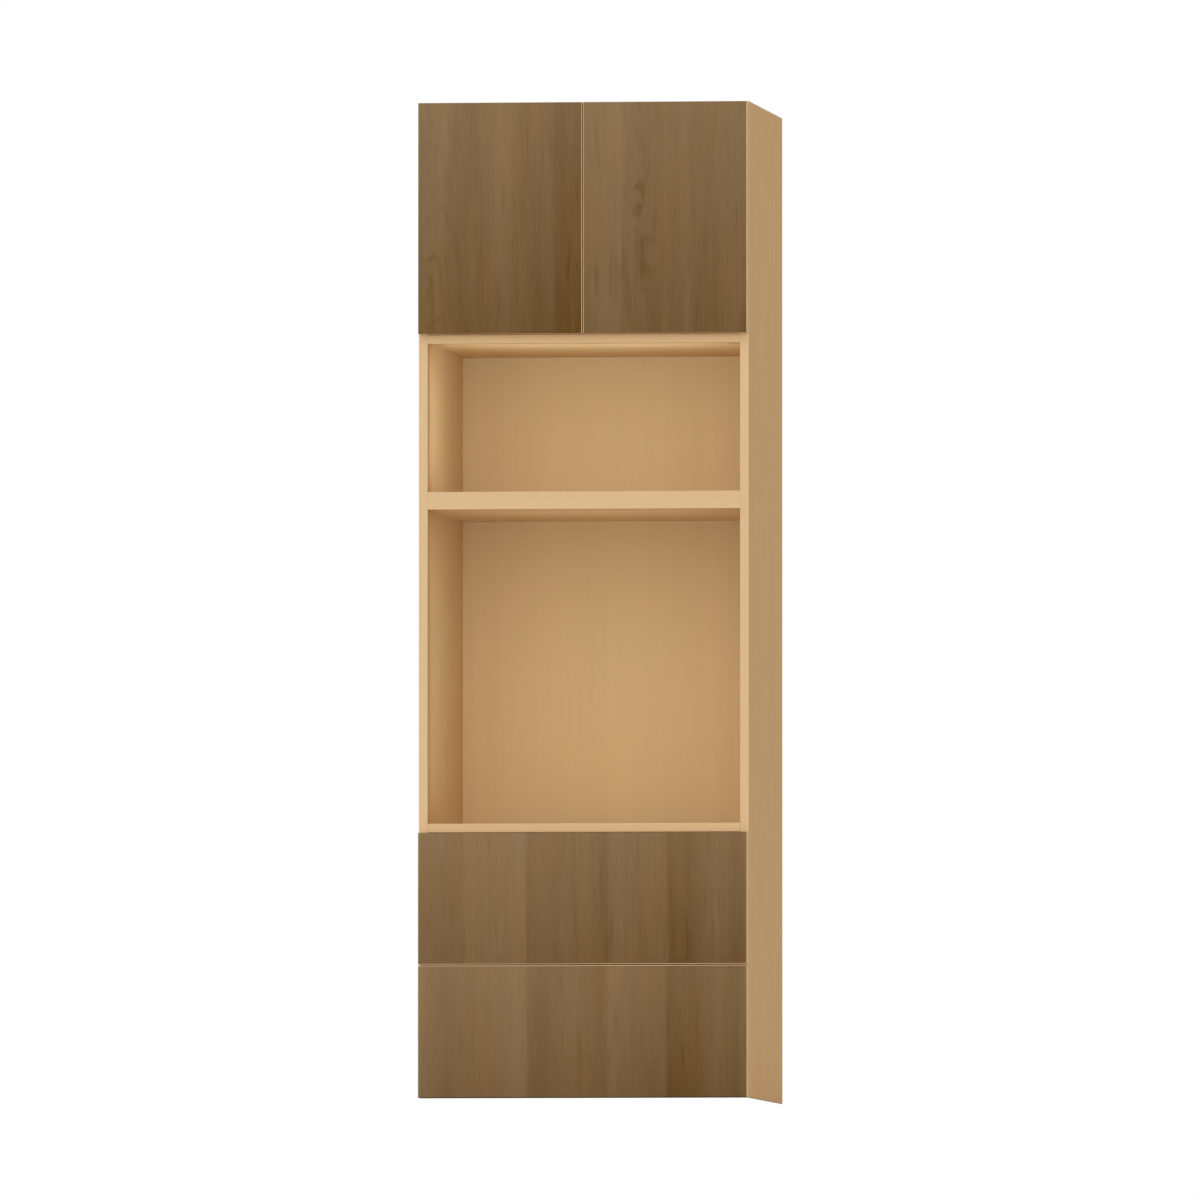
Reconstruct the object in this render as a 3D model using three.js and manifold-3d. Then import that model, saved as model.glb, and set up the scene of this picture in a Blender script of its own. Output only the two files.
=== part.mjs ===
// Tall oven housing unit: cupboard with two doors over a microwave niche, an oven niche and two drawers.
// Millimetres. The origin is the middle of the footprint, on the floor. +Z is up, +X is to the right
// of someone who faces the unit, and the fronts look towards -Y.
import * as THREE from "three";
import { mergeVertices } from "three/addons/utils/BufferGeometryUtils.js";
import Module from "manifold-3d";

const wasm = await Module();
wasm.setup();

// ---------------------------------------------------------------- driving sizes
const WIDTH = 600;
const HEIGHT = 1800;
const CARCASS_DEPTH = 560;
const BOARD = 16; // thickness of the carcass boards
const FRONT_BOARD = 18; // thickness of doors and drawer fronts
const BACK_BOARD = 6;
const DRAWER_ZONE_HEIGHT = 480; // floor to the underside of the oven shelf
const OVEN_NICHE_HEIGHT = 568;
const MICROWAVE_NICHE_HEIGHT = 268;

const FRONT_GAP = 2; // air between the carcass edge and a closed front
const REVEAL = 1; // a front stays this far inside the unit's outline
const SEAM = 2; // air between two neighbouring fronts
const JOINT = 0.05; // glue line between boards that meet
const FIT = 0.3; // play between a piece and the pocket or neighbour that it fits
const ARRIS = 0.8; // radius of the edge banding's long edges
const OVERCUT = 1; // a cutting tool runs this far past the face that it cuts

const BACK_INSET = 20; // from the rear edge of the sides to the back panels
const GROOVE_DEPTH = 8;
const VENT_WIDTH = 400; // air notch at the rear of the oven shelf
const VENT_DEPTH = 45;
const RAIL_DEPTH = 90; // cross rail behind the seam of the drawer fronts

const SYSTEM_PITCH = 32; // spacing of the holes in the cupboard's sides
const SYSTEM_SETBACK = 37; // from the front edge to the front row, and least from the back to the rear row
const SYSTEM_HOLE_RADIUS = 2.5;
const SYSTEM_HOLE_DEPTH = 12;

const HINGE_END = 80; // least distance from an end of the door to the nearer hinge
const HINGE_BORE_RADIUS = 17.5;
const HINGE_BORE_EDGE = 20.5; // from the door's outer edge to the middle of the bore
const HINGE_BORE_DEPTH = 12;
const CUP_WALL = 0.5;
const CUP_RIM = 1; // thickness of the flange on the door's back
const CUP_WING_REACH = 26; // from the cup's middle to the middle of a wing's round end
const CUP_WING_RADIUS = 6.5;
// u inwards from the unit's side, v back from the carcass front
const OUTER_LINK = { armPin: { u: 29, v: -4 }, bend: { u: 14.6, v: -10.9 }, cupPin: { u: 9.3, v: -6.9 } };
const INNER_LINK = { armPin: { u: 33.5, v: -7 }, bend: { u: 17.7, v: -10.9 }, cupPin: { u: 10.1, v: -7.5 } };
const LINK_HALF_WIDTH = 1.9;
const LINK_PLATE = 1.4; // thickness of an outer link's cheek
const LINK_PLAY = 0.5; // between neighbouring layers along the pins
const INNER_LINK_HALF = 3; // half of the inner link's width along the pins
const BRIDGE_FROM = 3.2; // the outer link's bridge, measured from its pin on the arm
const BRIDGE_TO = 6;
const PIN_RADIUS = 1;
const PIN_INSET = 0.2; // an arm pin ends this far inside the arm's cheek
const STUB_PIN_HALF = 7.3; // from the hinge's middle to the end of a stub pin
const ARM_PLATE = 1.4;
const ARM_TOP = 34; // from the unit's side to the top of the arm
const ARM_NOSE_V = 4; // where the channel starts, behind the carcass front
const ARM_END_V = 66;
const ARM_OPEN_V = 12; // in front of this the channel has no top, so that the links can fold
const ARM_SINK = 0.5; // the channel's cheeks run this far into the mounting plate
const NOSE_RADIUS = 2.3;
const NOSE_ROOT_V = 7; // where the noses that carry the pins grow out of the cheeks
const NOSE_LOW_U = 27;
const PLATE_THICKNESS = 3.4;
const PLATE_HALF = 9;
const PLATE_FROM_V = 14;
const PLATE_TO_V = 64;
const PLATE_WING_HALF = 8; // half of a wing's length along v
const PLATE_WING_END = 7; // from a system hole to the end of the wing over it

const DRAWER_BOARD = 16;
const DRAWER_BASE = 6;
const DRAWER_REAR_AIR = 36; // from the drawer box to the back panel
const DRAWER_BOX_HEIGHT = 170;
const DRAWER_LIFT = 31; // box bottom above the lower edge of its front
const DRAWER_GROOVE_LIFT = 12; // base groove above the bottom of the box

const RUNNER_THICKNESS = 12.7;
const RUNNER_HEIGHT = 45;
const RUNNER_SETBACK = 3; // behind the carcass front edge
const RUNNER_REAR_INSET = 5; // a runner ends this far before the drawer box does
const RUNNER_LIFT = 45; // middle of the runner above the bottom of the drawer box
const RUNNER_PLAY = 0.3; // to the drawer side
const RUNNER_STEEL = 1.1;
const RUNNER_NEST = 0.4; // between nested members
const CABINET_LIP = 3.6;
const MIDDLE_LIP = 4;
const RUNNER_HOLE_RADIUS = 2.6;
const RUNNER_HOLE_INSET = 35; // from each end to the outer holes

const LATCH_OFFSET = 32; // from the middle of the unit to the middle of a latch
const LATCH_WIDTH = 15;
const LATCH_HEIGHT = 14;
const LATCH_LENGTH = 74;
const LATCH_FLANGE = 2.5;
const LATCH_FLANGE_WIDTH = 22;
const LATCH_FLANGE_SETBACK = 18.5;
const PLUNGER_RADIUS = 3.6;
const PLUNGER_HEAD_RADIUS = 5;
const PLUNGER_HEAD = 2.4;
const PLUNGER_LENGTH = 60;

// ---------------------------------------------------------------- planes worked out from them
const DEPTH = CARCASS_DEPTH + FRONT_GAP + FRONT_BOARD;
const FRONTS_Y = -DEPTH / 2; // outer faces of the fronts
const FRONT_BACK_Y = FRONTS_Y + FRONT_BOARD; // inner faces of the fronts
const CARCASS_Y = FRONT_BACK_Y + FRONT_GAP; // front edges of the carcass
const REAR_Y = DEPTH / 2;
const BACK_Y = REAR_Y - BACK_INSET - BACK_BOARD; // front faces of the back panels
const INNER_HALF = WIDTH / 2 - BOARD; // middle of the unit to the inside of a side panel

const OVEN_SHELF_Z = DRAWER_ZONE_HEIGHT; // underside of each board
const OVEN_NICHE_TOP_Z = OVEN_SHELF_Z + BOARD + OVEN_NICHE_HEIGHT;
const MICROWAVE_SHELF_Z = OVEN_NICHE_TOP_Z + BOARD;
const CUPBOARD_FLOOR_Z = MICROWAVE_SHELF_Z + BOARD + MICROWAVE_NICHE_HEIGHT;
const TOP_PANEL_Z = HEIGHT - BOARD;
const DRAWER_SEAM_Z = DRAWER_ZONE_HEIGHT / 2;

const DOOR_WIDTH = WIDTH / 2 - REVEAL - SEAM / 2;
const DOOR_Z = CUPBOARD_FLOOR_Z + BOARD + REVEAL;
const DOOR_HEIGHT = HEIGHT - REVEAL - DOOR_Z;

// The hinges stand whole pitches apart, and each holds on two neighbouring holes of the front row.
const HINGE_PITCHES = Math.floor((DOOR_HEIGHT - 2 * HINGE_END) / SYSTEM_PITCH);
const LOWER_HINGE_Z = DOOR_Z + HINGE_END;
const UPPER_HINGE_Z = LOWER_HINGE_Z + HINGE_PITCHES * SYSTEM_PITCH;
const FIRST_HOLE_Z = LOWER_HINGE_Z - SYSTEM_PITCH / 2;
const HOLES_IN_ROW = HINGE_PITCHES + 2;
const ROW_PITCHES = Math.floor((BACK_Y - CARCASS_Y - 2 * SYSTEM_SETBACK) / SYSTEM_PITCH);
const FRONT_ROW_Y = CARCASS_Y + SYSTEM_SETBACK;
const REAR_ROW_Y = FRONT_ROW_Y + ROW_PITCHES * SYSTEM_PITCH;

const SIDES = { left: -1, right: 1 };

// ---------------------------------------------------------------- finishes
const finish = (color, roughness, metalness) =>
  new THREE.MeshStandardMaterial({ color, roughness, metalness });
const carcassBoard = () => finish(0xdab98e, 0.55, 0);
const frontDecor = () => finish(0x7a6142, 0.5, 0);
const steel = () => finish(0xb9bcc0, 0.3, 1);
const nickel = () => finish(0xc9c6bf, 0.25, 1);
const greyPlastic = () => finish(0x9a9b9d, 0.5, 0);

// ---------------------------------------------------------------- solids
// Where the x, y and height of an outline's plane point in the model.
const turned = (x, y, height) => new THREE.Matrix4().makeBasis(
  new THREE.Vector3(...x), new THREE.Vector3(...y), new THREE.Vector3(...height));
const ALONG_Z = turned([1, 0, 0], [0, 1, 0], [0, 0, 1]);
const ALONG_X = turned([0, 1, 0], [0, 0, 1], [1, 0, 0]);
const ALONG_Y = turned([1, 0, 0], [0, 0, 1], [0, -1, 0]);
const UPRIGHT = turned([0, 1, 0], [-1, 0, 0], [0, 0, 1]);

// An outline carried from one height to another along an axis.
function extrude(outline, low, high, axis = ALONG_Z, curveSegments = 4) {
  const settings = { depth: high - low, bevelEnabled: false, curveSegments };
  const geometry = new THREE.ExtrudeGeometry(outline, settings);
  geometry.translate(0, 0, axis === ALONG_Y ? -high : low);
  return geometry.applyMatrix4(axis);
}

function rectangle(left, right, bottom, top) {
  const outline = new THREE.Shape();
  outline.moveTo(left, bottom);
  outline.lineTo(right, bottom);
  outline.lineTo(right, top);
  outline.lineTo(left, top);
  outline.closePath();
  return outline;
}

// A bar with round ends, from one centre to the other.
function stadium(from, to, radius) {
  const turn = Math.atan2(to[1] - from[1], to[0] - from[0]);
  const outline = new THREE.Shape();
  outline.absarc(to[0], to[1], radius, turn - Math.PI / 2, turn + Math.PI / 2);
  outline.absarc(from[0], from[1], radius, turn + Math.PI / 2, turn + 1.5 * Math.PI);
  outline.closePath();
  return outline;
}

function disc(centre, radius) {
  const outline = new THREE.Shape();
  outline.absarc(centre[0], centre[1], radius, 0, 2 * Math.PI);
  return outline;
}

// A board in section, with its depth along x. The arrises of its banded front edge are rounded, apart
// from one that is named sharp because another board lies flush against it.
function bandedSection(front, rear, low, high, sharp = "none") {
  const outline = new THREE.Shape();
  outline.moveTo(rear, low);
  outline.lineTo(rear, high);
  if (sharp === "upper") outline.lineTo(front, high);
  else outline.absarc(front + ARRIS, high - ARRIS, ARRIS, Math.PI / 2, Math.PI);
  if (sharp === "lower") outline.lineTo(front, low);
  else outline.absarc(front + ARRIS, low + ARRIS, ARRIS, Math.PI, 1.5 * Math.PI);
  outline.closePath();
  return outline;
}

// A door or drawer front: all edges of its two faces are rounded. It starts at y = 0 and goes back.
function frontBoard(outline, thickness) {
  const geometry = new THREE.ExtrudeGeometry(outline, {
    depth: thickness - 2 * ARRIS,
    bevelThickness: ARRIS,
    bevelSize: ARRIS,
    bevelOffset: -ARRIS,
    bevelSegments: 2,
  });
  geometry.translate(0, 0, ARRIS - thickness);
  return geometry.applyMatrix4(ALONG_Y);
}

// The two x values, low then high, of a stretch that runs inwards from the unit's side.
function inwards(side, from, to) {
  return [-side * from, -side * to].sort((a, b) => a - b);
}

// The closed mesh as a solid, with shared corners merged, collapsed triangles left out and faces outwards.
function solid(geometry) {
  const bare = geometry.clone();
  bare.deleteAttribute("normal");
  bare.deleteAttribute("uv");
  const merged = mergeVertices(bare, 1e-4);
  const corners = merged.attributes.position.array;
  const index = merged.index.array;
  const triangles = [];
  let volume = 0;
  for (let i = 0; i < index.length; i += 3) {
    const [a, b, c] = index.slice(i, i + 3);
    if (a === b || b === c || c === a) continue;
    triangles.push(a, b, c);
    const [p, q, r] = [a, b, c].map((k) => new THREE.Vector3().fromArray(corners, 3 * k));
    volume += p.dot(q.cross(r));
  }
  if (volume < 0) triangles.reverse();
  return new wasm.Manifold(new wasm.Mesh({
    numProp: 3, vertProperties: new Float32Array(corners), triVerts: new Uint32Array(triangles),
  }));
}

const join = (...pieces) => pieces.map(solid).reduce((all, piece) => all.add(piece));
const cut = (body, tools) => tools.map(solid).reduce((rest, tool) => rest.subtract(tool), body);

function toGeometry(body) {
  const mesh = body.getMesh();
  const geometry = new THREE.BufferGeometry();
  geometry.setAttribute("position", new THREE.BufferAttribute(mesh.vertProperties, 3));
  geometry.setIndex(new THREE.BufferAttribute(mesh.triVerts, 1));
  geometry.computeVertexNormals();
  return geometry;
}

function place(parent, name, body, material, position = [0, 0, 0]) {
  const mesh = new THREE.Mesh(toGeometry(body), material);
  mesh.name = name;
  mesh.position.set(...position);
  parent.add(mesh);
}

// ---------------------------------------------------------------- carcass
// The holes of one row, drilled into the inner face of a side panel.
function holeRow(side, y) {
  const heights = Array.from({ length: HOLES_IN_ROW }, (_, k) => FIRST_HOLE_Z + k * SYSTEM_PITCH);
  const [low, high] = inwards(side, BOARD - SYSTEM_HOLE_DEPTH, BOARD + OVERCUT);
  return heights.map((z) => extrude(disc([y, z], SYSTEM_HOLE_RADIUS), low, high, ALONG_X, 5));
}

// A side panel: a board with a groove for the backs and two rows of holes in the cupboard.
function sidePanel(side) {
  const [low, high] = inwards(side, 0, BOARD);
  const board = extrude(bandedSection(CARCASS_Y, REAR_Y, -high, -low), 0, HEIGHT, UPRIGHT);
  const groove = rectangle(
    ...inwards(side, BOARD - GROOVE_DEPTH - FIT, BOARD + OVERCUT), BACK_Y - FIT, BACK_Y + BACK_BOARD + FIT);
  return cut(solid(board), [
    extrude(groove, -OVERCUT, HEIGHT + OVERCUT),
    ...holeRow(side, FRONT_ROW_Y),
    ...holeRow(side, REAR_ROW_Y),
  ]);
}

// A board that lies between the side panels, from the carcass front to the given depth.
function crossBoard(rearY, thickness = BOARD, sharp = "none") {
  const half = INNER_HALF - JOINT;
  return solid(extrude(bandedSection(CARCASS_Y, rearY, 0, thickness, sharp), -half, half, ALONG_X));
}

// Top and bottom run to the rear edge and carry a groove for the back on the face that looks inwards.
function grooveBoard(grooveBottom, grooveTop) {
  const groove = rectangle(-INNER_HALF, INNER_HALF, BACK_Y - FIT, BACK_Y + BACK_BOARD + FIT);
  return cut(crossBoard(REAR_Y), [extrude(groove, grooveBottom, grooveTop)]);
}

// The oven shelf has a notch at the back panel, where warm air rises.
function ovenShelf(rearY) {
  const notch = rectangle(-VENT_WIDTH / 2, VENT_WIDTH / 2, rearY - VENT_DEPTH, rearY + OVERCUT);
  return cut(crossBoard(rearY), [extrude(notch, -OVERCUT, BOARD + OVERCUT)]);
}

// A back panel sits in the grooves of both sides.
function backPanel(height) {
  const half = INNER_HALF + GROOVE_DEPTH;
  return solid(extrude(rectangle(-half, half, 0, BACK_BOARD), 0, height));
}

// The backs meet behind the middles of the oven shelf and the cupboard floor.
function buildBacks(carcass) {
  const seams = [
    BOARD - GROOVE_DEPTH,
    OVEN_SHELF_Z + BOARD / 2,
    CUPBOARD_FLOOR_Z + BOARD / 2,
    TOP_PANEL_Z + GROOVE_DEPTH,
  ];
  ["drawer_bay_back", "niche_back", "cupboard_back"].forEach((name, i) => {
    const low = seams[i] + (i > 0 ? JOINT : 0);
    place(carcass, name, backPanel(seams[i + 1] - low), carcassBoard(), [0, BACK_Y, low]);
  });
}

function buildCarcass() {
  const carcass = new THREE.Group();
  for (const [label, side] of Object.entries(SIDES)) {
    place(carcass, `side_panel_${label}`, sidePanel(side), carcassBoard(), [side * WIDTH / 2, 0, 0]);
  }
  const rearY = BACK_Y - JOINT;
  const boards = {
    bottom_panel: [0, grooveBoard(BOARD - GROOVE_DEPTH - FIT, BOARD + OVERCUT)],
    drawer_cross_rail: [DRAWER_SEAM_Z - BOARD / 2, crossBoard(CARCASS_Y + RAIL_DEPTH)],
    oven_shelf: [OVEN_SHELF_Z, ovenShelf(rearY)],
    oven_niche_top: [OVEN_NICHE_TOP_Z, crossBoard(rearY, BOARD - JOINT, "upper")],
    microwave_shelf: [MICROWAVE_SHELF_Z, crossBoard(rearY, BOARD, "lower")],
    cupboard_floor: [CUPBOARD_FLOOR_Z, crossBoard(rearY)],
    top_panel: [TOP_PANEL_Z, grooveBoard(-OVERCUT, GROOVE_DEPTH + FIT)],
  };
  for (const [name, [z, board]] of Object.entries(boards)) {
    place(carcass, name, board, carcassBoard(), [0, 0, z]);
  }
  buildBacks(carcass);
  return carcass;
}

// ---------------------------------------------------------------- hinges
// A hinge is drawn in u, v: u runs inwards from the unit's side and v runs back from the carcass
// front. Its two bent links lie one inside the other, and both fold into the cup when the door shuts.
const CUP_RADIUS = HINGE_BORE_RADIUS - FIT;
const CUP_DEPTH = HINGE_BORE_DEPTH - FIT;
const OUTER_LINK_INSIDE = INNER_LINK_HALF + LINK_PLAY; // layers along the pins, from the hinge's middle
const OUTER_LINK_HALF = OUTER_LINK_INSIDE + LINK_PLATE;
const ARM_INSIDE = OUTER_LINK_HALF + LINK_PLAY;
const ARM_HALF = ARM_INSIDE + ARM_PLATE;

const layer = (outline, half) => extrude(outline, -half, half);
const bar = (side, from, to, radius, half) =>
  layer(stadium([-side * from.u, from.v], [-side * to.u, to.v], radius), half);
const round = (side, point, radius, half) => layer(disc([-side * point.u, point.v], radius), half);

// A link is a bent bar that turns on a pin of the arm and reaches into the cup.
function linkBody(side, link, half) {
  return join(
    bar(side, link.armPin, link.bend, LINK_HALF_WIDTH, half),
    bar(side, link.bend, link.cupPin, LINK_HALF_WIDTH, half));
}

const linkEye = (side, link) => round(side, link.armPin, PIN_RADIUS + FIT, ARM_HALF);

function innerLink(side) {
  return cut(linkBody(side, INNER_LINK, INNER_LINK_HALF), [linkEye(side, INNER_LINK)]);
}

// The outer link's two cheeks are joined near the arm by a bridge on the side away from the inner
// link. Its stub pins point outwards, to the wall of the cup.
function outerLink(side) {
  const { armPin, bend, cupPin } = OUTER_LINK;
  const run = Math.hypot(bend.u - armPin.u, bend.v - armPin.v);
  const ahead = { u: (bend.u - armPin.u) / run, v: (bend.v - armPin.v) / run };
  const rise = LINK_HALF_WIDTH - LINK_PLATE / 2;
  const bridgeAt = (distance) => ({
    u: armPin.u + ahead.u * distance + ahead.v * rise,
    v: armPin.v + ahead.v * distance - ahead.u * rise,
  });
  const bridge = bar(side, bridgeAt(BRIDGE_FROM), bridgeAt(BRIDGE_TO), LINK_PLATE / 2, OUTER_LINK_HALF);
  const link = linkBody(side, OUTER_LINK, OUTER_LINK_HALF)
    .add(solid(round(side, cupPin, PIN_RADIUS, STUB_PIN_HALF)))
    .subtract(linkBody(side, OUTER_LINK, OUTER_LINK_INSIDE))
    .add(solid(bridge));
  return cut(link, [linkEye(side, OUTER_LINK)]);
}

// The mounting plate lies on the side panel, with a wing over each of its two holes.
function mountingPlate(side) {
  const [low, high] = inwards(side, BOARD + JOINT, BOARD + JOINT + PLATE_THICKNESS);
  const wing = rectangle(low, high, SYSTEM_SETBACK - PLATE_WING_HALF, SYSTEM_SETBACK + PLATE_WING_HALF);
  return join(
    layer(rectangle(low, high, PLATE_FROM_V, PLATE_TO_V), PLATE_HALF),
    layer(wing, SYSTEM_PITCH / 2 + PLATE_WING_END));
}

// The arm: a channel on its mounting plate, whose two cheeks run on into the noses with the pins.
function hingeArm(side) {
  const low = OUTER_LINK.armPin;
  const high = INNER_LINK.armPin;
  const foot = BOARD + JOINT + PLATE_THICKNESS - ARM_SINK;
  const nose = (from, to) => bar(side, from, to, NOSE_RADIUS, ARM_HALF);
  const cheeks = join(
    layer(rectangle(...inwards(side, foot, ARM_TOP), ARM_NOSE_V, ARM_END_V), ARM_HALF),
    nose(low, high),
    nose({ u: NOSE_LOW_U, v: NOSE_ROOT_V }, low),
    nose({ u: ARM_TOP - NOSE_RADIUS, v: NOSE_ROOT_V }, high));
  const channel = layer(
    rectangle(...inwards(side, 0, ARM_TOP - ARM_PLATE), ARM_OPEN_V, ARM_END_V + OVERCUT), ARM_INSIDE);
  const opening = layer(
    rectangle(...inwards(side, 0, WIDTH / 2), -WIDTH, ARM_OPEN_V + OVERCUT), ARM_INSIDE);
  const pins = join(
    round(side, low, PIN_RADIUS, ARM_HALF - PIN_INSET),
    round(side, high, PIN_RADIUS, ARM_HALF - PIN_INSET));
  return cut(cheeks, [channel, opening]).add(mountingPlate(side)).add(pins);
}

// The cup: a pressed dish with a flange and two wings for its screws. y = 0 is the door's back.
function hingeCup() {
  const inside = CUP_RADIUS - CUP_WALL;
  const profile = [
    [0, -CUP_DEPTH], [CUP_RADIUS, -CUP_DEPTH], [CUP_RADIUS, CUP_RIM], [inside, CUP_RIM],
    [inside, CUP_WALL - CUP_DEPTH], [0, CUP_WALL - CUP_DEPTH],
  ].map(([r, y]) => new THREE.Vector2(r, y));
  const dish = new THREE.LatheGeometry(profile, 24);
  const wings = extrude(
    stadium([0, -CUP_WING_REACH], [0, CUP_WING_REACH], CUP_WING_RADIUS), JOINT, CUP_RIM, ALONG_Y);
  const hollow = extrude(disc([0, 0], CUP_RADIUS - CUP_WALL / 2), -OVERCUT, CUP_RIM + OVERCUT, ALONG_Y, 12);
  return solid(dish).add(cut(solid(wings), [hollow]));
}

function hinge(parent, label, side, height) {
  const origin = [side * WIDTH / 2, CARCASS_Y, height];
  const cupX = side * (WIDTH / 2 - REVEAL - HINGE_BORE_EDGE);
  place(parent, `hinge_arm_${label}`, hingeArm(side), nickel(), origin);
  place(parent, `hinge_inner_link_${label}`, innerLink(side), steel(), origin);
  place(parent, `hinge_outer_link_${label}`, outerLink(side), steel(), origin);
  place(parent, `hinge_cup_${label}`, hingeCup(), nickel(), [cupX, FRONT_BACK_Y, height]);
}

// ---------------------------------------------------------------- doors
// A door: a board with a blind bore for each hinge cup. x runs inwards from its outer edge.
function doorBoard(side) {
  const board = frontBoard(rectangle(...inwards(side, 0, DOOR_WIDTH), 0, DOOR_HEIGHT), FRONT_BOARD);
  const bores = [LOWER_HINGE_Z, UPPER_HINGE_Z].map((z) => extrude(
    disc([-side * HINGE_BORE_EDGE, z - DOOR_Z], HINGE_BORE_RADIUS),
    FRONT_BOARD - HINGE_BORE_DEPTH, FRONT_BOARD + OVERCUT, ALONG_Y, 12));
  return cut(solid(board), bores);
}

function buildDoors() {
  const doors = new THREE.Group();
  for (const [label, side] of Object.entries(SIDES)) {
    const outerEdge = side * (WIDTH / 2 - REVEAL);
    place(doors, `door_${label}`, doorBoard(side), frontDecor(), [outerEdge, FRONTS_Y, DOOR_Z]);
    hinge(doors, `${label}_lower`, side, LOWER_HINGE_Z);
    hinge(doors, `${label}_upper`, side, UPPER_HINGE_Z);
  }
  return doors;
}

// ---------------------------------------------------------------- push latches of the doors
// The housing of a latch: y = 0 is its mouth and z = 0 the plunger's axis.
function latchHousing() {
  const halfWidth = LATCH_WIDTH / 2;
  const halfHeight = LATCH_HEIGHT / 2;
  const halfFlange = LATCH_FLANGE_WIDTH / 2;
  const body = join(
    extrude(rectangle(-halfWidth, halfWidth, -halfHeight, halfHeight), 0, LATCH_LENGTH, ALONG_Y),
    extrude(rectangle(-halfFlange, halfFlange, halfHeight - LATCH_FLANGE, halfHeight),
      LATCH_FLANGE_SETBACK, LATCH_LENGTH, ALONG_Y));
  const bore = extrude(disc([0, 0], PLUNGER_RADIUS + FIT), -OVERCUT, PLUNGER_LENGTH, ALONG_Y, 8);
  return cut(body, [bore]);
}

function latchPlunger() {
  const profile = [
    [0, 0], [PLUNGER_HEAD_RADIUS, 0], [PLUNGER_HEAD_RADIUS, PLUNGER_HEAD], [PLUNGER_RADIUS, PLUNGER_HEAD],
    [PLUNGER_RADIUS, PLUNGER_LENGTH], [0, PLUNGER_LENGTH],
  ].map(([r, y]) => new THREE.Vector2(r, y));
  return solid(new THREE.LatheGeometry(profile, 16));
}

// The housings hang under the top panel, and each plunger rests against the back of a closed door.
function buildLatches() {
  const latches = new THREE.Group();
  const axisZ = TOP_PANEL_Z - JOINT - LATCH_HEIGHT / 2;
  const tipY = FRONT_BACK_Y + FIT;
  const mouthY = tipY + PLUNGER_HEAD + FIT;
  for (const [label, side] of Object.entries(SIDES)) {
    const x = side * LATCH_OFFSET;
    place(latches, `latch_housing_${label}`, latchHousing(), greyPlastic(), [x, mouthY, axisZ]);
    place(latches, `latch_plunger_${label}`, latchPlunger(), greyPlastic(), [x, tipY, axisZ]);
  }
  return latches;
}

// ---------------------------------------------------------------- drawers
const BOX_HALF = INNER_HALF - RUNNER_THICKNESS - RUNNER_PLAY; // middle to the outside of a drawer side
const BOX_INSIDE = BOX_HALF - DRAWER_BOARD;
const BOX_LENGTH = BACK_Y - DRAWER_REAR_AIR - FRONT_BACK_Y;
const FRONT_WIDTH = WIDTH - 2 * REVEAL;
const FRONT_HEIGHT = DRAWER_SEAM_Z - SEAM / 2 - REVEAL;
const BASE_GROOVE = [DRAWER_GROOVE_LIFT - FIT, DRAWER_GROOVE_LIFT + DRAWER_BASE + FIT];

// A drawer side, with the groove that holds the base on the face that looks inwards.
function drawerSide(side) {
  const board = rectangle(-DRAWER_BOARD / 2, DRAWER_BOARD / 2, 0, DRAWER_BOX_HEIGHT);
  const groove = rectangle(...inwards(side, DRAWER_BOARD / 2 - GROOVE_DEPTH, DRAWER_BOARD), ...BASE_GROOVE);
  return cut(solid(extrude(board, 0, BOX_LENGTH, ALONG_Y)),
    [extrude(groove, -OVERCUT, BOX_LENGTH + OVERCUT, ALONG_Y)]);
}

// A board across the drawer, between its sides, with the groove from y = grooveLow to grooveHigh.
function drawerCross(grooveLow, grooveHigh) {
  const half = BOX_INSIDE - JOINT;
  const board = extrude(rectangle(-half, half, 0, DRAWER_BOARD), 0, DRAWER_BOX_HEIGHT);
  const groove = rectangle(-BOX_INSIDE, BOX_INSIDE, grooveLow, grooveHigh);
  return cut(solid(board), [extrude(groove, ...BASE_GROOVE)]);
}

// A runner member is a channel in section. t runs from the side panel to the drawer, and the middle
// is at z = 0. It stands on its web at t = from and opens towards t = to, and each of its lips ends at
// lipEnd: turned in where that is nearer to the middle than the flange, and turned out where it isn't.
function channelOutline(from, to, flange, lipEnd) {
  const step = Math.sign(to - from) * RUNNER_STEEL;
  const inside = flange - RUNNER_STEEL;
  const lip = lipEnd < flange
    ? [[to, flange], [to, lipEnd], [to - step, lipEnd], [to - step, inside]]
    : [[to - step, flange], [to - step, lipEnd], [to, lipEnd], [to, inside]];
  const upper = [[from, flange], ...lip, [from + step, inside]];
  return [...upper, ...upper.map(([t, z]) => [t, -z]).reverse()];
}

function runnerMember(side, corners, length) {
  const outline = new THREE.Shape(corners.map(([t, z]) => new THREE.Vector2(-side * t, z)));
  const web = corners[0][0];
  const drill = inwards(side, web - 2 * RUNNER_STEEL, web + 2 * RUNNER_STEEL);
  const holes = [RUNNER_HOLE_INSET, length / 2, length - RUNNER_HOLE_INSET].map(
    (y) => extrude(disc([y, 0], RUNNER_HOLE_RADIUS), ...drill, ALONG_X));
  return cut(solid(extrude(outline, 0, length, ALONG_Y)), holes);
}

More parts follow.
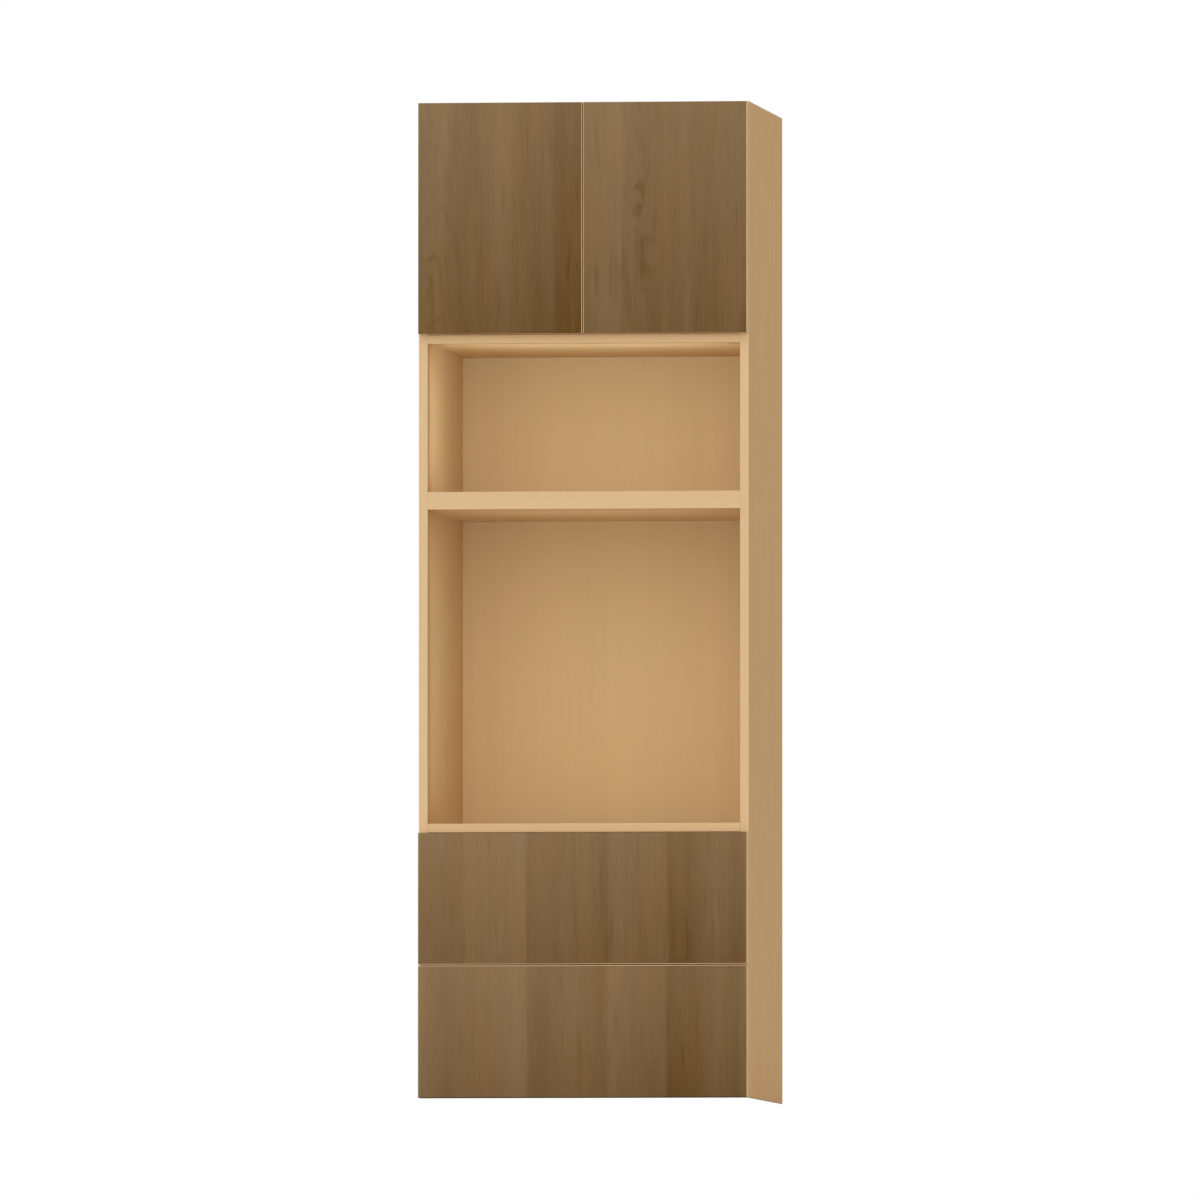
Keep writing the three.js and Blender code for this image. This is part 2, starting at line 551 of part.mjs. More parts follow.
// Three members, one inside the other: on the side panel, between the two, and on the drawer.
function runner(parent, label, side, height) {
  const layerStep = RUNNER_STEEL + RUNNER_NEST;
  const mouth = RUNNER_THICKNESS - 2 * layerStep;
  const cabinetFlange = RUNNER_HEIGHT / 2;
  const middleFlange = cabinetFlange - layerStep;
  const drawerFlange = middleFlange - MIDDLE_LIP - RUNNER_NEST;
  const members = {
    cabinet: channelOutline(JOINT, mouth, cabinetFlange, cabinetFlange - CABINET_LIP),
    middle: channelOutline(layerStep, mouth - layerStep, middleFlange, middleFlange - MIDDLE_LIP),
    drawer: channelOutline(RUNNER_THICKNESS, 2 * layerStep, drawerFlange, middleFlange - layerStep),
  };
  const start = CARCASS_Y + RUNNER_SETBACK;
  const length = FRONT_BACK_Y + BOX_LENGTH - RUNNER_REAR_INSET - start;
  for (const [member, corners] of Object.entries(members)) {
    const body = runnerMember(side, corners, length);
    place(parent, `runner_${label}_${member}`, body, steel(), [side * INNER_HALF, start, height]);
  }
}

// The base lies in the grooves of the box's four boards.
function drawerBase() {
  const half = BOX_INSIDE + GROOVE_DEPTH - FIT;
  const length = BOX_LENGTH - 2 * (DRAWER_BOARD - GROOVE_DEPTH + FIT);
  return solid(extrude(rectangle(-half, half, 0, length), 0, DRAWER_BASE));
}

function buildDrawer(label, frontZ) {
  const drawer = new THREE.Group();
  const boxZ = frontZ + DRAWER_LIFT;
  const add = (name, body, material, position) =>
    place(drawer, `drawer_${label}_${name}`, body, material, position);
  const face = rectangle(-FRONT_WIDTH / 2, FRONT_WIDTH / 2, 0, FRONT_HEIGHT);
  add("front", solid(frontBoard(face, FRONT_BOARD - JOINT)), frontDecor(), [0, FRONTS_Y, frontZ]);
  for (const [name, side] of Object.entries(SIDES)) {
    const x = side * (BOX_HALF - DRAWER_BOARD / 2);
    add(`side_${name}`, drawerSide(side), carcassBoard(), [x, FRONT_BACK_Y, boxZ]);
    runner(drawer, `${label}_${name}`, side, boxZ + RUNNER_LIFT);
  }
  const wall = DRAWER_BOARD - GROOVE_DEPTH; // what the groove leaves of a cross board
  add("inner_front", drawerCross(wall, DRAWER_BOARD + OVERCUT), carcassBoard(), [0, FRONT_BACK_Y, boxZ]);
  add("back", drawerCross(-OVERCUT, GROOVE_DEPTH), carcassBoard(),
    [0, FRONT_BACK_Y + BOX_LENGTH - DRAWER_BOARD, boxZ]);
  add("base", drawerBase(), carcassBoard(), [0, FRONT_BACK_Y + wall + FIT, boxZ + DRAWER_GROOVE_LIFT]);
  return drawer;
}

// ---------------------------------------------------------------- the whole unit
const group = new THREE.Group();
group.add(buildCarcass());
group.add(buildDoors());
group.add(buildLatches());
group.add(buildDrawer("lower", REVEAL));
group.add(buildDrawer("upper", DRAWER_SEAM_Z + SEAM / 2));

export default group;
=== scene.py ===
# %% [markdown]
# # Tall oven housing unit
# A tall kitchen unit: a cupboard behind two doors, a niche for a microwave, a niche for an oven and
# two drawers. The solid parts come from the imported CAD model. This script gives them their finishes
# and adds the small fittings, the light and the camera. Lengths are metres and +Z is up.

# %% Load the frame
import math

import bmesh
import bpy
import numpy as np
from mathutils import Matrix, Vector


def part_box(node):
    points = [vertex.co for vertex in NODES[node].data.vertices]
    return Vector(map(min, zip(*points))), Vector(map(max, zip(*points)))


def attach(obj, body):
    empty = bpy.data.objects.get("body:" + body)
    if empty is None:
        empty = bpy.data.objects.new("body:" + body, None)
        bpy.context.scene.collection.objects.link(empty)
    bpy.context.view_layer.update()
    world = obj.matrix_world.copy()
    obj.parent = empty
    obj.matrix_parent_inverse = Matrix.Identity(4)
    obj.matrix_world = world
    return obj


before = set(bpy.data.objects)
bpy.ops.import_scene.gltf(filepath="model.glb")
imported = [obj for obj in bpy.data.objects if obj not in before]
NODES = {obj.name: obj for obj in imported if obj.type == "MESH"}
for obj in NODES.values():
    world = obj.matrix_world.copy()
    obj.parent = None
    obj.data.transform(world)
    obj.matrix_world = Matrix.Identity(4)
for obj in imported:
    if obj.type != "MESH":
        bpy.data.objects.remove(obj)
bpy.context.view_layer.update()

# %% [markdown]
# The main planes of the unit are read from its boards, so the finishes and the fittings follow the
# model instead of repeating its numbers.

# %% Planes of the unit
SIDE_LOW, SIDE_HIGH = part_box("side_panel_right")
OUTSIDE = SIDE_HIGH.x
INSIDE = SIDE_LOW.x
EDGE_Y = SIDE_LOW.y
REAR_Y = SIDE_HIGH.y
HEIGHT = SIDE_HIGH.z
FRONTS_Y, FRONT_BACK_Y = (corner.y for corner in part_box("door_left"))
BACK_Y, BACK_REAR_Y = (corner.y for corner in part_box("niche_back"))
ARRIS = 0.0009  # the rounding of a banded edge, and so how far back a board's edging shows
BANDING = 0.0010  # the thickness of the strip round a front
SIDES = {"left": -1, "right": 1}
print("unit", round(2 * OUTSIDE, 4), "wide,", round(HEIGHT, 4), "high; fronts at", round(FRONTS_Y, 4))


# %% [markdown]
# ## Small helpers for shader nodes
# A material is a chain of nodes. Written out in full, each node takes several lines, which hides what
# the chain does. These helpers add a node, set its plain values and link its sockets in one call.

# %% Node helpers
def screen(red, green, blue):
    """A colour as it looks on screen, 0 to 255 a channel, as the linear colour that a shader takes."""
    share = np.array([red, green, blue]) / 255
    linear = np.where(share <= 0.04045, share / 12.92, ((share + 0.055) / 1.055) ** 2.4)
    return (*linear.tolist(), 1.0)


def node(tree, kind, inputs=None, **fields):
    """Adds a node. A value in inputs is set on its socket, and another node's output is linked to it."""
    made = tree.nodes.new("ShaderNode" + kind)
    for name, value in fields.items():
        setattr(made, name, value)
    for key, value in (inputs or {}).items():
        if isinstance(value, bpy.types.NodeSocket):
            tree.links.new(value, made.inputs[key])
        else:
            made.inputs[key].default_value = value
    return made


def maths(tree, operation, *values):
    """One step of arithmetic on values or sockets."""
    return node(tree, "Math", dict(enumerate(values)), operation=operation).outputs[0]


def added(tree, value, strength, onto):
    """Adds a value of 0 to 1 onto another, counted from its middle, 0.5, and times strength."""
    return maths(tree, "MULTIPLY_ADD", maths(tree, "SUBTRACT", value, 0.5), strength, onto)


def blend(tree, share, first, second, how="MIX"):
    """One colour over another: share 0 gives the first and share 1 the second."""
    inputs = {0: share, 6: first, 7: second}
    return node(tree, "Mix", inputs, data_type="RGBA", blend_type=how).outputs[2]


def spread(tree, value, low, high, to_low=0.0, to_high=1.0):
    """Stretches value from low..high to to_low..to_high and holds it there outside."""
    inputs = {0: value, 1: low, 2: high, 3: to_low, 4: to_high}
    return node(tree, "MapRange", inputs, clamp=True).outputs[0]


def noise(tree, vector, scale, detail=2.0, distortion=0.0, roughness=0.5):
    """Clouds of 0 to 1. With a larger scale they are smaller."""
    inputs = {"Vector": vector, "Scale": scale, "Detail": detail, "Distortion": distortion,
              "Roughness": roughness}
    return node(tree, "TexNoise", inputs).outputs[0]


def stretched(tree, vector, scale, shift=(0, 0, 0)):
    """Coordinates that are squeezed along the grain, so that a round pattern becomes a long one."""
    return node(tree, "Mapping", {"Vector": vector, "Scale": scale, "Location": shift}).outputs[0]


def place_on(tree):
    """The place on the piece, in the model's own metres."""
    return node(tree, "TexCoord").outputs["Object"]


def axes(tree, vector):
    """The x, y and z of a vector."""
    return node(tree, "SeparateXYZ", {0: vector}).outputs


def group(name, inputs, outputs):
    """A node group with named sockets. Returns the tree, its incoming sockets and its outgoing ones."""
    tree = bpy.data.node_groups.new(name, "ShaderNodeTree")
    for label, kind, value in inputs:
        socket = tree.interface.new_socket(label, in_out="INPUT", socket_type="NodeSocket" + kind)
        socket.default_value = value
    for label, kind in outputs:
        tree.interface.new_socket(label, in_out="OUTPUT", socket_type="NodeSocket" + kind)
    return tree, tree.nodes.new("NodeGroupInput").outputs, tree.nodes.new("NodeGroupOutput").inputs


def use(tree, made_group, **inputs):
    """Places a group in a material. Names of sockets are written with _ for a space."""
    placed = node(tree, "Group", node_tree=made_group)
    for label, value in inputs.items():
        socket = placed.inputs[label.replace("_", " ")]
        if isinstance(value, bpy.types.NodeSocket):
            tree.links.new(value, socket)
        else:
            socket.default_value = value
    return placed.outputs


def material(name):
    """A new material, its tree and its Principled shader."""
    made = bpy.data.materials.new(name)
    made.use_nodes = True
    return made, made.node_tree, made.node_tree.nodes["Principled BSDF"]


def finish(tree, shader, colour, roughness, height, depth, strength):
    """Links a finish to the shader: height is a bump that is depth metres deep."""
    bump = node(tree, "Bump", {"Height": height, "Distance": depth, "Strength": strength})
    for key, value in (("Base Color", colour), ("Roughness", roughness), ("Normal", bump.outputs[0])):
        tree.links.new(value, shader.inputs[key])


print("helpers ready")

# %% [markdown]
# ## Effects that several finishes share
# Board grain is a print on paper: broad tone streaks, fine fibres and short dark pores. All three are
# noise on coordinates that are squeezed along the grain. Handling shows as soft clouds in the gloss.
# Metal and plastic are rubbed bright along their edges, and a board shows its chips where it is cut.
# Each of the four effects is a group, so every finish takes the same one with values of its own.

# %% Grain and handling
PLACE_SOCKET = ("Vector", "Vector", (0, 0, 0))


def grain_group():
    """Streaks, fibres and pores, each 0 to 1, from coordinates already squeezed along the grain."""
    tree, given, out = group(
        "board grain",
        [PLACE_SOCKET, ("Streak Scale", "Float", 26.0), ("Fibre Scale", "Float", 240.0)],
        [("Streaks", "Float"), ("Fibres", "Float"), ("Pores", "Float")])
    streaks = noise(tree, given["Vector"], given["Streak Scale"], 3.0, 0.35)
    fibres = noise(tree, given["Vector"], given["Fibre Scale"], 3.0, 0.2, 0.6)
    pores = noise(tree, given["Vector"], maths(tree, "MULTIPLY", given["Fibre Scale"], 3.2), 1.0)
    tree.links.new(spread(tree, streaks, 0.3, 0.7), out["Streaks"])
    tree.links.new(spread(tree, fibres, 0.25, 0.75), out["Fibres"])
    tree.links.new(spread(tree, pores, 0.62, 0.72), out["Pores"])
    return tree


def handling_group():
    """Clouds 0 to 1 for gloss that differs from place to place, and fine dust 0 to 1."""
    tree, given, out = group("handling", [PLACE_SOCKET, ("Cloud Size", "Float", 9.0)],
                             [("Clouds", "Float"), ("Dust", "Float")])
    clouds = noise(tree, given["Vector"], given["Cloud Size"], 4.0, 0.6)
    tree.links.new(spread(tree, clouds, 0.35, 0.68), out["Clouds"])
    tree.links.new(spread(tree, noise(tree, given["Vector"], 900.0, 2.0), 0.45, 0.75), out["Dust"])
    return tree


GRAIN, HANDLING = grain_group(), handling_group()
print("groups:", GRAIN.name, "and", HANDLING.name)

# %% [markdown]
# Edge wear needs to know where an edge is. A Bevel node gives the normal that a slightly rounder edge
# would have, and where it differs from the real normal, there is an edge. The cut core of a board is
# a pattern of cells, one for each chip.


# %% Edge wear and chipboard core
def wear_group():
    """Edge wear, 0 to 1: where a normal rounded over Radius differs from the real one, in patches."""
    tree, given, out = group("edge wear", [PLACE_SOCKET, ("Radius", "Float", 0.0006)],
                             [("Wear", "Float")])
    rounded = node(tree, "Bevel", {"Radius": given["Radius"]}, samples=4).outputs[0]
    true = node(tree, "NewGeometry").outputs["Normal"]
    same = node(tree, "VectorMath", {0: rounded, 1: true}, operation="DOT_PRODUCT").outputs["Value"]
    edge = spread(tree, same, 0.995, 0.90)
    broken = spread(tree, noise(tree, given["Vector"], 380.0, 3.0), 0.42, 0.62)
    tree.links.new(maths(tree, "MULTIPLY", edge, broken), out["Wear"])
    return tree


def chipboard_group():
    """The core of a board where it is cut: chips as cells of mixed tone, and their height."""
    tree, given, out = group("chipboard core", [PLACE_SOCKET], [("Colour", "Color"), ("Height", "Float")])
    chips = node(tree, "TexVoronoi", {"Vector": given["Vector"], "Scale": 520.0, "Randomness": 1.0})
    tone = axes(tree, chips.outputs["Color"])[0]
    chip = blend(tree, tone, screen(150, 118, 80), screen(206, 176, 134))
    fine = spread(tree, noise(tree, given["Vector"], 1500.0, 2.0), 0.5, 0.75, 0, 0.5)
    tree.links.new(blend(tree, fine, chip, screen(108, 80, 52)), out["Colour"])
    tree.links.new(maths(tree, "SUBTRACT", tone, chips.outputs["Distance"]), out["Height"])
    return tree


WEAR, CORE = wear_group(), chipboard_group()
print("groups:", WEAR.name, "and", CORE.name)

# %% [markdown]
# ## Carcass board
# The real boards are chipboard with a warm, pale melamine on both faces and an edging strip, a little
# lighter, on the front edge. One material can do all of it: the edging is where the board's front
# starts, the bare core is where the board is cut at the rear and at its ends, and the rest is face.
# The grain is kept faint, because from a few steps away the real face looks even.

# %% Board finish
FACE = screen(214, 173, 120)
EDGING = screen(217, 186, 143)
GRAIN_TONE = screen(176, 138, 92)
ACROSS = {"x": (0.03, 1, 1), "y": (1, 0.03, 1), "z": (1, 1, 0.03)}
CUT_DEPTH = 0.0004  # how far in from a cut the bare core shows
STREAKS_ON_BOARD, FIBRES_ON_BOARD = 0.10, 0.08


def hardboard(tree, where):
    """The rough brown rear of a thin back: pressed fibres, in patches of slightly different tone."""
    fibre = noise(tree, where, 420.0, 5.0, 1.2, 0.7)
    mottle = spread(tree, noise(tree, where, 5.0, 3.0, 0.0, 0.5), 0.35, 0.68, -0.08, 0.08)
    return blend(tree, maths(tree, "ADD", fibre, mottle), screen(132, 97, 62), screen(186, 149, 106))


def board_finish(name, grain_along, cut_ends=False, rear_y=REAR_Y, rear="core"):
    """A melamine board. Its grain runs along one axis, and cut_ends shows the core at top and bottom."""
    made, tree, shader = material(name)
    where = place_on(tree)
    _, y, z = axes(tree, where)
    grain = use(tree, GRAIN, Vector=stretched(tree, where, ACROSS[grain_along]))
    clouds = use(tree, HANDLING, Vector=where)
    face = blend(tree, maths(tree, "LESS_THAN", y, EDGE_Y + ARRIS), FACE, EDGING)
    fibres = maths(tree, "MULTIPLY", grain["Fibres"], FIBRES_ON_BOARD)
    tone = maths(tree, "MULTIPLY_ADD", grain["Streaks"], STREAKS_ON_BOARD, fibres)
    printed = blend(tree, tone, face, GRAIN_TONE)
    bare = maths(tree, "GREATER_THAN", y, rear_y - CUT_DEPTH)
    if cut_ends:
        from_middle = maths(tree, "ABSOLUTE", maths(tree, "SUBTRACT", z, HEIGHT / 2))
        at_end = maths(tree, "GREATER_THAN", from_middle, HEIGHT / 2 - CUT_DEPTH)
        bare = maths(tree, "MAXIMUM", bare, at_end)
    core = use(tree, CORE, Vector=where)
    bare_colour = hardboard(tree, where) if rear == "hardboard" else core["Colour"]
    gloss = maths(tree, "MULTIPLY_ADD", clouds["Clouds"], 0.10, 0.46)
    roughness = maths(tree, "MAXIMUM", gloss, maths(tree, "MULTIPLY", bare, 0.9))
    raised = maths(tree, "MULTIPLY", grain["Fibres"], 0.12)
    texture = maths(tree, "MULTIPLY_ADD", bare, core["Height"], raised)
    finish(tree, shader, blend(tree, bare, printed, bare_colour), roughness, texture, 0.00025, 0.5)
    shader.inputs["Specular IOR Level"].default_value = 0.03
    return made


SIDE_BOARD = board_finish("side board", "z", cut_ends=True)
SHELF_BOARD = board_finish("shelf board", "x")
BACK_BOARD = board_finish("back board", "z", rear_y=BACK_REAR_Y, rear="hardboard")
BOX_BOARD = board_finish("drawer box board", "y")
print("board finishes:", SIDE_BOARD.name, SHELF_BOARD.name, BACK_BOARD.name, BOX_BOARD.name)

# %% [markdown]
# ## Front décor: the staves
# The doors and drawer fronts carry a walnut-brown print of narrow staves with upright grain. A
# photograph could be wrapped round the fronts, but here the print is worked out. Its base is a colour
# ramp across the width: each list gives a place in millimetres from the front's left edge and how
# many steps lighter or darker than the middle tone the wood is there.

# %% Stave tones
WALNUT_DARK = (0.106, 0.051, 0.0085, 1)
WALNUT_LIGHT = (0.267, 0.177, 0.0890, 1)
STEPS = 40  # steps of tone from the darkest wood to the lightest
DRAWER_STAVES = [(0, 12), (12, 8), (40, 6), (110, 8), (160, 8), (182, 12), (196, 9), (199, 0), (260, 2),
                 (318, 2), (332, -3), (341, -2), (349, 4), (390, 2), (440, 1), (451, -1), (454, -8),
                 (504, -8), (520, -4), (545, 0), (566, -4), (580, -6), (598, 1)]
LEFT_STAVES = [(0, 5), (35, 4), (85, -2), (120, 0), (152, 3), (166, 1), (200, -3), (240, -4),
               (244, -5), (249, -9), (298, -13)]
RIGHT_STAVES = [(0, 5), (35, 7), (52, 10), (66, 11), (71, 4), (86, 3), (104, 0), (122, -2), (150, 1),
                (190, 1), (206, -2), (228, -1), (236, 1), (298, 1)]


def stave_tones(tree, distance, width, staves):
    """The tone, 0 to 1, at a distance from a front's left edge, from its list of staves."""
    ramp = node(tree, "ValToRGB", {0: spread(tree, distance, 0, width)})
    elements = ramp.color_ramp.elements
    while len(elements) < len(staves):
        elements.new(0.5)
    for element, (millimetres, step) in zip(elements, staves):
        element.position = millimetres / 1000 / width
        element.color = (*[0.5 + step / STEPS] * 3, 1)
    return ramp.outputs[0]


print("staves:", len(LEFT_STAVES), len(RIGHT_STAVES), "and", len(DRAWER_STAVES), "places of tone")

# %% [markdown]
# ## Front décor: flecks and painted highlight lines
# One place on each front has soft dark flecks, the figure of the wood. Where two fronts meet, and
# down the right-hand side of the unit, a thin pale line in the edging's colour is painted on the face
# of the front. It is a painted highlight, because the narrow seam itself lies in shade. Both are masks
# worked out from the place on the front.

# %% Flecks and painted highlight lines
FLECK_WIDTH = 0.026


def fleck_mask(tree, x, z, centre, seed):
    """Soft dark flecks in a band round x = centre: distorted noise under a bell curve."""
    squeezed = node(tree, "CombineXYZ", {0: maths(tree, "MULTIPLY", x, 2.4), 1: seed, 2: z}).outputs[0]
    figure = spread(tree, noise(tree, squeezed, 13.0, 3.0, 1.6), 0.52, 0.72)
    away = maths(tree, "DIVIDE", maths(tree, "SUBTRACT", x, centre), FLECK_WIDTH)
    squared = maths(tree, "MULTIPLY", away, away)
    bell = maths(tree, "EXPONENT", maths(tree, "MULTIPLY", squared, -1.0))
    return maths(tree, "MULTIPLY", figure, bell)


def painted_highlight_edges(tree, x, z, low, high, edges):
    """Painted highlight: 1 on a strip as wide as the banding is thick along the named edges of a front, else 0.
    """
    inwards = {"left": (x, 1, -low.x), "right": (x, -1, high.x),
               "foot": (z, 1, -low.z), "top": (z, -1, high.z)}
    nearest = maths(tree, "MULTIPLY_ADD", *inwards[edges[0]])
    for edge in edges[1:]:
        nearest = maths(tree, "MINIMUM", nearest, maths(tree, "MULTIPLY_ADD", *inwards[edge]))
    return maths(tree, "LESS_THAN", nearest, BANDING)


print("pale lines are", BANDING * 1000, "mm wide")

# %% [markdown]
# ## Front décor: the whole print
# On the staves lie, one after the other, the fade from a lighter top to a darker foot, streaks,
# fibres, pores, fine upright lines and the flecks. The sum is a tone, which picks a brown between a
# dark and a light one, and a little warmth comes and goes over it. The back of a front and its edges
# are pale, and a pale line along some edges of its face is a painted highlight. Seeds move the noise,
# so no two fronts have the same grain.

# %% Décor finish
STAVE_CONTRAST = 1.30
STREAKS_ON_FRONT, FIBRES_ON_FRONT, PORES_ON_FRONT = 0.20, 0.17, -0.10
FINE_LINES = ((0.60, 0.74, -0.20), (0.36, 0.26, 0.13))  # where in the noise they start and end, tone
WAVER = 0.008  # how far the edges of the staves wander
TONE_RANGE, TONE_START = 0.667, 0.167  # room at both ends of the browns for what lies on the staves
WARM_TINT = (1.06, 0.98, 0.92, 1)


def decor_tone(tree, where, x, z, low, high, shift, grain, staves, fade):
    """The tone of the print without its flecks: the staves, and what lies over them."""
    wander = noise(tree, stretched(tree, where, (1, 1, 0.35), shift), 9.0)
    waver = maths(tree, "MULTIPLY", maths(tree, "SUBTRACT", wander, 0.5), WAVER)
    distance = maths(tree, "ADD", maths(tree, "SUBTRACT", x, low.x), waver)
    tone = stave_tones(tree, distance, high.x - low.x, staves)
    tone = added(tree, tone, STAVE_CONTRAST, 0.5)
    tone = maths(tree, "ADD", tone, spread(tree, z, low.z, high.z, -fade, fade))
    tone = added(tree, grain["Streaks"], STREAKS_ON_FRONT, tone)
    tone = added(tree, grain["Fibres"], FIBRES_ON_FRONT, tone)
    tone = maths(tree, "MULTIPLY_ADD", grain["Pores"], PORES_ON_FRONT, tone)
    lines = noise(tree, stretched(tree, where, (1, 1, 0.09), shift), 95.0, 2.0, 0.25)
    for start, end, step in FINE_LINES:
        tone = maths(tree, "MULTIPLY_ADD", spread(tree, lines, start, end), step, tone)
    return tone


def decor_finish(name, front, staves, edges, seed, fleck_at, fleck_strength, fade):
    """The printed face of one front, with pale edging, a pale back and painted highlight lines."""
    made, tree, shader = material(name)
    low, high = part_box(front)
    where = place_on(tree)
    x, y, z = axes(tree, where)
    shift = (seed * 1.7, seed * 0.9, seed * 0.31)
    upright = stretched(tree, where, (1, 1, 0.05), shift)
    grain = use(tree, GRAIN, Vector=upright, Streak_Scale=34.0, Fibre_Scale=190.0)
    tone = decor_tone(tree, where, x, z, low, high, shift, grain, staves, fade)
    flecks = fleck_mask(tree, x, z, low.x + fleck_at, seed)
    tone = maths(tree, "MULTIPLY_ADD", flecks, -fleck_strength, tone)
    share = maths(tree, "MULTIPLY_ADD", tone, TONE_RANGE, TONE_START)
    printed = blend(tree, share, WALNUT_DARK, WALNUT_LIGHT)
    patches = noise(tree, stretched(tree, where, (1, 1, 0.3), shift), 14.0, 2.0)
    printed = blend(tree, spread(tree, patches, 0.42, 0.62, 0, 0.6), printed, WARM_TINT, "MULTIPLY")
    behind = maths(tree, "GREATER_THAN", y, low.y + ARRIS)
    # The pale strips along the named edges are a painted highlight in the edging's colour; the back and the
    # edge faces are the edging's own pale colour.
    back_or_painted_highlight = maths(tree, "MAXIMUM", behind, painted_highlight_edges(tree, x, z, low, high, edges))
    pale = blend(tree, maths(tree, "MULTIPLY", grain["Streaks"], 0.12), EDGING, GRAIN_TONE)
    clouds = use(tree, HANDLING, Vector=where)
    gloss = maths(tree, "MULTIPLY_ADD", clouds["Clouds"], 0.12, 0.42)
    texture = maths(tree, "MULTIPLY_ADD", grain["Pores"], -0.6, grain["Fibres"])
    finish(tree, shader, blend(tree, back_or_painted_highlight, printed, pale), gloss, texture, 0.0002, 0.35)
    shader.inputs["Specular IOR Level"].default_value = 0.06
    return made


# The edges with a pale line are where a painted highlight lies on the face of the front.
FRONT_DETAILS = {  # staves, edges with a pale line, seed, place and strength of the flecks, fade
    "door_left": (LEFT_STAVES, ("right",), 3.1, 0.026, 0.30, 0.35),
    "door_right": (RIGHT_STAVES, ("left", "right"), 7.7, 0.100, 0.42, 0.30),
    "drawer_upper_front": (DRAWER_STAVES, ("right", "foot"), 12.4, 0.325, 0.10, 0.28),
    "drawer_lower_front": (DRAWER_STAVES, ("right", "top"), 15.2, 0.335, 0.16, 0.24),
}
FRONT_FINISHES = {front: decor_finish(front + "_decor", front, *details)
                  for front, details in FRONT_DETAILS.items()}
print("front finishes:", ", ".join(made.name for made in FRONT_FINISHES.values()))

# %% [markdown]
# ## Metal and plastic
# Runners are galvanised strip: dull, with rolling marks along their length. Hinges are nickel plated:
# brighter, with polish worn through at the edges. The latches are moulded grey plastic with a fine
# grained skin. Bumpers and release levers are black.

# %% Metal and plastic finishes
RUBBED = screen(236, 234, 230)
WORN_RADIUS = 0.0004


def metal_finish(name, light, dark, gloss, along):
    """Plated steel: rolling marks along one axis change tone and gloss, and edges are rubbed bright."""
    made, tree, shader = material(name)
    where = place_on(tree)
    marks = noise(tree, stretched(tree, where, ACROSS[along]), 1400.0, 3.0)
    clouds = use(tree, HANDLING, Vector=where, Cloud_Size=60.0)
    wear = use(tree, WEAR, Vector=where, Radius=WORN_RADIUS)["Wear"]
    tone = maths(tree, "MULTIPLY_ADD", marks, 0.5, maths(tree, "MULTIPLY", clouds["Clouds"], 0.5))
    colour = blend(tree, wear, blend(tree, tone, dark, light), RUBBED)
    roughness = maths(tree, "MULTIPLY_ADD", tone, 0.16, gloss)
    finish(tree, shader, colour, roughness, marks, 0.00003, 0.5)
    shader.inputs["Metallic"].default_value = 1.0
    return made


def plastic_finish(name, colour, worn, gloss):
    """Moulded plastic or rubber with a fine grained skin, a little paler where it is rubbed."""
    made, tree, shader = material(name)
    where = place_on(tree)
    skin = noise(tree, where, 2600.0, 2.0)
    clouds = use(tree, HANDLING, Vector=where, Cloud_Size=45.0)
    wear = use(tree, WEAR, Vector=where, Radius=WORN_RADIUS)["Wear"]
    tone = blend(tree, maths(tree, "MULTIPLY", clouds["Clouds"], 0.35), colour, worn)
    rubbed = blend(tree, maths(tree, "MULTIPLY", wear, 0.6), tone, worn)
    roughness = maths(tree, "MULTIPLY_ADD", clouds["Dust"], 0.18, gloss)
    finish(tree, shader, rubbed, roughness, skin, 0.00005, 0.5)
    return made


ZINC = metal_finish("galvanised strip", screen(196, 199, 203), screen(160, 164, 170), 0.30, "y")
NICKEL = metal_finish("nickel plate", screen(216, 211, 201), screen(184, 178, 168), 0.16, "z")
GREY_PLASTIC = plastic_finish("grey plastic", screen(150, 151, 153), screen(178, 179, 180), 0.40)
RUBBER = plastic_finish("black rubber", screen(34, 34, 36), screen(70, 70, 72), 0.60)
CAP_PLASTIC = plastic_finish("pale cap plastic", screen(208, 176, 132), screen(224, 198, 160), 0.38)
print("metal and plastic finishes ready")

# %% [markdown]
# ## Finishes on the CAD nodes
# The nodes already have the right shape, so they stay and only get a material. Which one follows from
# the node's name: the first part of a name that fits decides.

# %% Assign finishes
FINISH_BY_NAME = [
    ("hinge_cup", NICKEL), ("hinge_arm", NICKEL), ("hinge_", ZINC), ("runner_", ZINC),
    ("latch_", GREY_PLASTIC), ("side_panel", SIDE_BOARD), ("_side_", BOX_BOARD),
    ("_base", BACK_BOARD), ("inner_front", SHELF_BOARD), ("drawer_upper_back", SHELF_BOARD),
    ("drawer_lower_back", SHELF_BOARD), ("_back", BACK_BOARD)]
for name, piece in NODES.items():
    chosen = FRONT_FINISHES.get(name)
    if chosen is None:
        chosen = next((coating for key, coating in FINISH_BY_NAME if key in name), SHELF_BOARD)
    piece.data.materials.clear()
    piece.data.materials.append(chosen)
print("finishes on", len(NODES), "nodes")


# %% [markdown]
# ## How the fittings are made
# Every fitting is a closed shell of rings: a ring is a loop of points, neighbouring rings are joined by
# four-sided faces, and the first and last ring are closed with a fan. A cap is a lathe shape, and a
# lever is a flat section carried along a path.

# %% Rings of a shape
TURN = 2 * np.pi
SECTION_STEPS = 4  # points on each round corner of a strip's section


def lathe(profile, sides=24):
    """Rings of a turned shape. A ring of radius r lies at height h: x = r cos a, y = r sin a, z = h."""
    profile = np.asarray(profile, float)
    angle = np.linspace(0, TURN, sides, endpoint=False)
    rings = np.empty((len(profile), sides, 3))
    rings[..., 0] = profile[:, :1] * np.cos(angle)
    rings[..., 1] = profile[:, :1] * np.sin(angle)
    rings[..., 2] = profile[:, 1:]
    return rings


